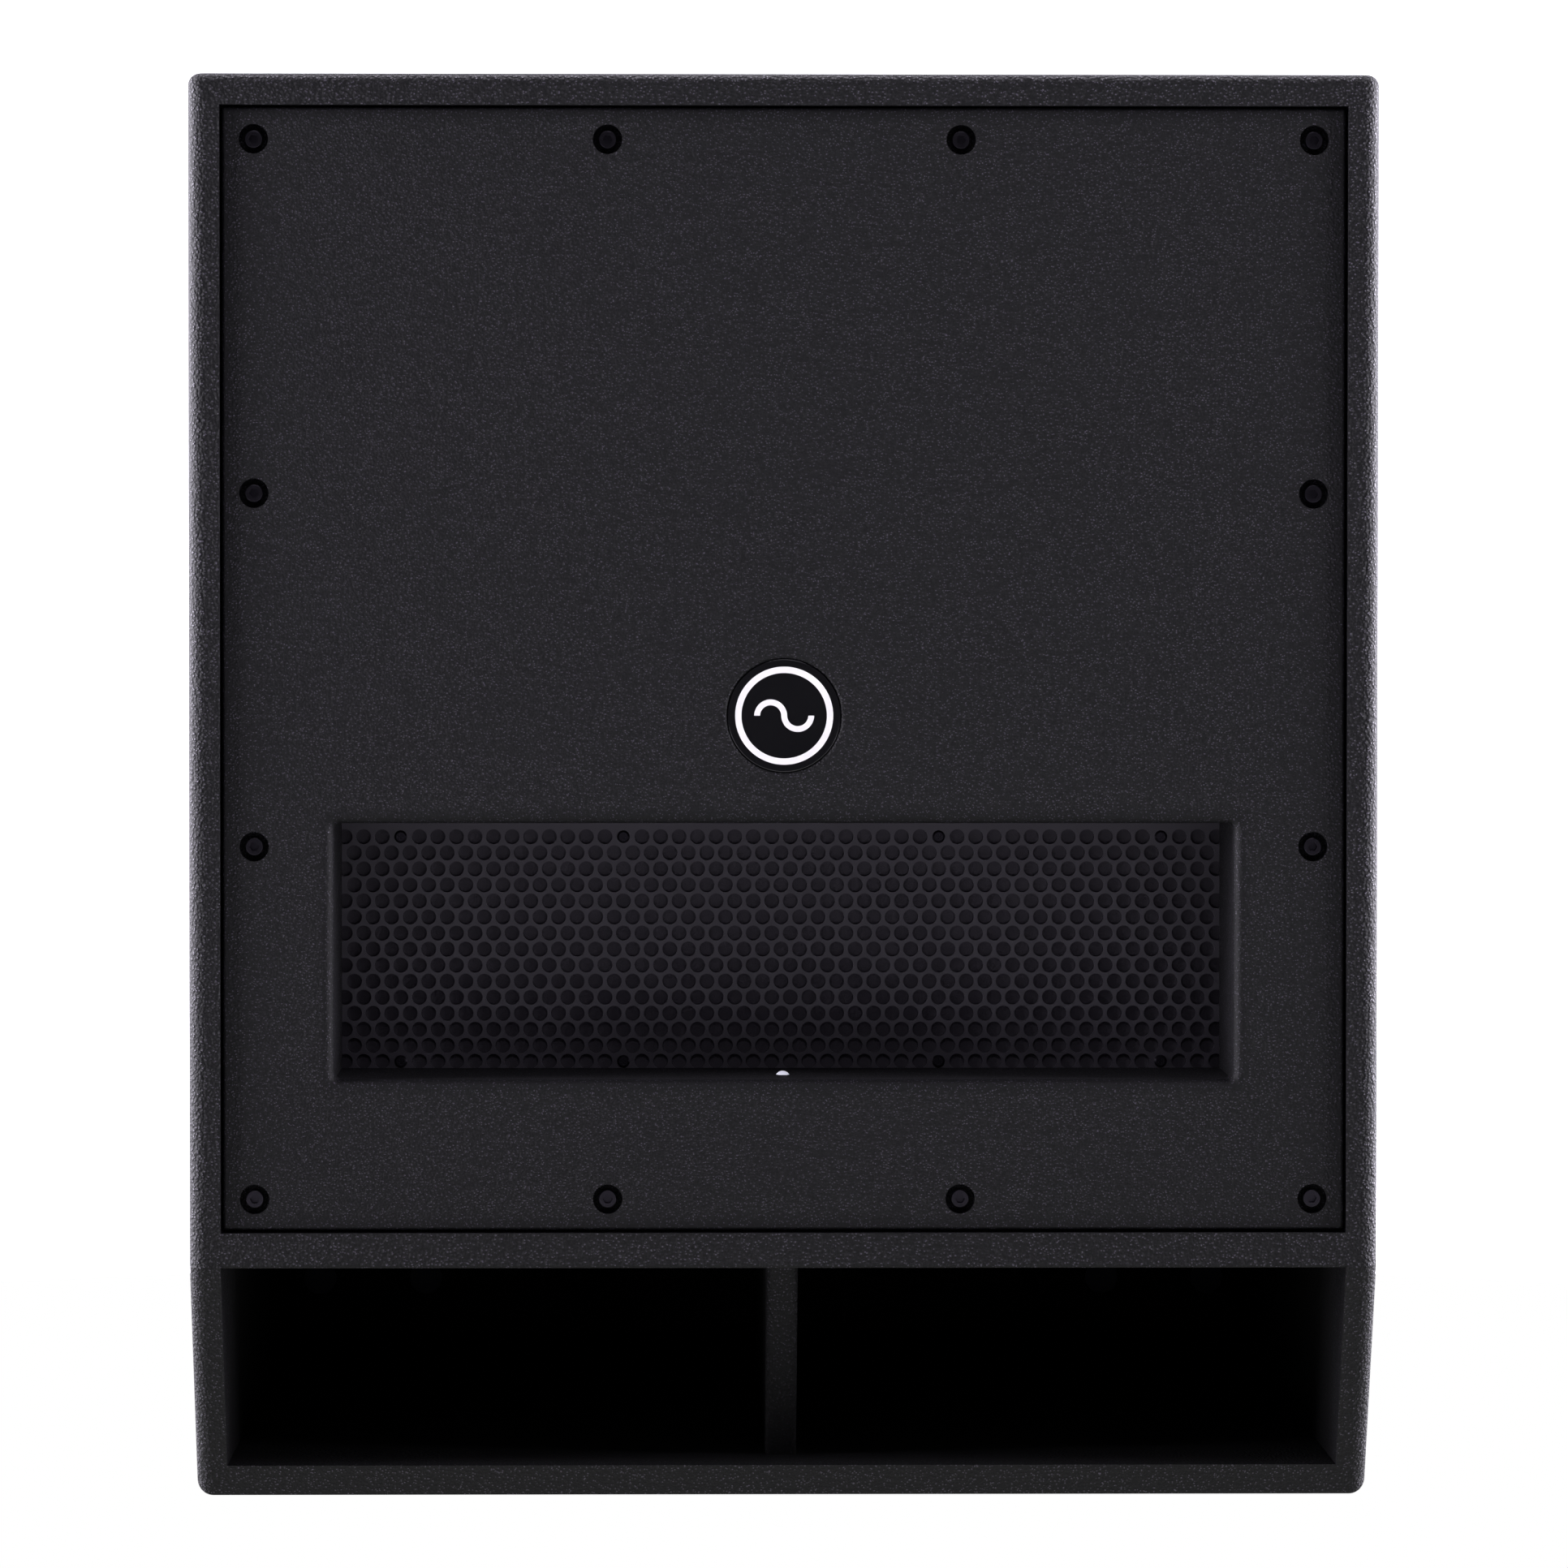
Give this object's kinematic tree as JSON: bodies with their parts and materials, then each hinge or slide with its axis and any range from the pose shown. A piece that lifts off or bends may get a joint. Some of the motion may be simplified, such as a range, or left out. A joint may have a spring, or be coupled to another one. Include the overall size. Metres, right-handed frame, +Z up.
{
  "type": "powered subwoofer cabinet",
  "caption": "Powered band-pass subwoofer cabinet with a screwed front panel, a grilled vent duct, floor ports, side handles, a pole socket and a rear amplifier.",
  "frame": {"origin": "under the middle of the cabinet, on the floor that the feet stand on", "axes": "+Z up, +X to the right as seen from the front, the front faces -Y"},
  "size_m": [0.563, 0.721, 0.683],
  "materials": {
    "polyurea_coat": "birch plywood sprayed with coarse black textured coating",
    "panel_coat": "plywood sprayed with a finer black textured coating",
    "raw_plywood": "uncoated plywood batten",
    "black_steel": "black powder coat on steel",
    "black_screw": "black oxide",
    "zinc_steel": "zinc plated",
    "badge_black": "gloss black",
    "badge_white": "white",
    "clear_lens": "diffusing white",
    "circuit": "green solder mask",
    "cast_frame": "die cast, black",
    "paper_cone": "treated paper",
    "treated_cloth": "treated cloth",
    "voice_coil_wire": "fibre former with enamelled winding",
    "magnet_steel": "zinc plated steel",
    "ferrite": "sintered ferrite",
    "cable_jacket": "black PVC",
    "foam_gasket": "closed-cell foam",
    "grille_foam": "open-cell black foam",
    "rubber_foot": "black rubber",
    "anodised_black": "black anodised",
    "black_nylon": "glass-filled nylon",
    "knob_plastic": "moulded",
    "button_plastic": "moulded",
    "rocker_plastic": "moulded",
    "nickel": "nickel plated"
  },
  "bodies": {
    "cabinet": {"top_panel": "polyurea_coat", "bottom_panel": "polyurea_coat", "left_side_panel": "polyurea_coat", "right_side_panel": "polyurea_coat", "back_panel": "polyurea_coat", "port_shelf": "polyurea_coat", "port_divider": "polyurea_coat", "driver_baffle": "polyurea_coat", "rear_brace": "raw_plywood", "panel_battens": "raw_plywood", "front_panel": "panel_coat", "front_panel_gasket": "foam_gasket", "front_panel_screws": "black_screw", "panel_t_nuts": "zinc_steel", "badge_disc": "badge_black", "badge_emblem": "badge_white", "vent_duct": "polyurea_coat", "vent_grille": "black_steel", "grille_foam": "grille_foam", "grille_screws": "black_screw", "front_led_lens": "clear_lens", "front_led_board": "circuit", "driver_basket": "cast_frame", "top_plate": "magnet_steel", "magnet_ring": "ferrite", "pole_yoke": "magnet_steel", "driver_terminals": "black_nylon", "driver_bolts": "black_screw", "speaker_cable": "cable_jacket", "led_cable": "cable_jacket", "left_handle_cups": "black_steel", "right_handle_cups": "black_steel", "handle_bars": "rubber_foot", "handle_screws": "black_screw", "pole_socket": "black_steel", "pole_socket_screws": "black_screw", "rubber_feet": "rubber_foot", "foot_screws": "black_screw", "amp_battens": "polyurea_coat", "amp_panel": "black_steel", "amp_panel_screws": "black_screw", "heat_sink": "anodised_black", "amp_housing": "zinc_steel", "amplifier_board": "circuit", "power_board": "circuit", "input_jacks": "black_nylon", "output_jacks": "black_nylon", "power_entry": "black_nylon", "indicator_lenses": "clear_lens", "castor_inserts": "zinc_steel"},
    "cone": {"driver_cone": "paper_cone", "dust_cap": "paper_cone", "voice_coil": "voice_coil_wire", "driver_surround": "treated_cloth", "driver_spider": "treated_cloth"},
    "level_control": {"level_knob": "knob_plastic"},
    "polarity_switch": {"polarity_button": "button_plastic"},
    "boost_switch": {"boost_button": "button_plastic"},
    "left_latch": {"left_input_latch": "nickel"},
    "right_latch": {"right_input_latch": "nickel"},
    "mains_switch": {"power_rocker": "rocker_plastic"}
  },
  "joints": [
    {"name": "cone_travel", "type": "slide", "parent": "cabinet", "child": "cone", "axis": [0, -1, 0], "range_m": [-0.01, 0.01], "stiffness_N_per_m": 8000, "deforming": ["driver_surround", "driver_spider"]},
    {"name": "level_knob_turn", "type": "hinge", "parent": "cabinet", "child": "level_control", "pos_m": [0.078, 0.348, 0.545], "axis": [0, 1, 0], "range_deg": [-150, 150]},
    {"name": "polarity_button_press", "type": "slide", "parent": "cabinet", "child": "polarity_switch", "axis": [0, -1, 0], "range_m": [0, 0.0025], "stiffness_N_per_m": 400, "springref_m": -0.0005},
    {"name": "boost_button_press", "type": "slide", "parent": "cabinet", "child": "boost_switch", "axis": [0, -1, 0], "range_m": [0, 0.0025], "stiffness_N_per_m": 400, "springref_m": -0.0005},
    {"name": "left_latch_press", "type": "slide", "parent": "cabinet", "child": "left_latch", "axis": [0, -1, 0], "range_m": [0, 0.0012], "stiffness_N_per_m": 500, "springref_m": -0.0004},
    {"name": "right_latch_press", "type": "slide", "parent": "cabinet", "child": "right_latch", "axis": [0, -1, 0], "range_m": [0, 0.0012], "stiffness_N_per_m": 500, "springref_m": -0.0004},
    {"name": "power_rocker_tilt", "type": "hinge", "parent": "cabinet", "child": "mains_switch", "pos_m": [0.099, 0.344, 0.262], "axis": [-1, 0, 0], "range_deg": [0, 18]}
  ]
}
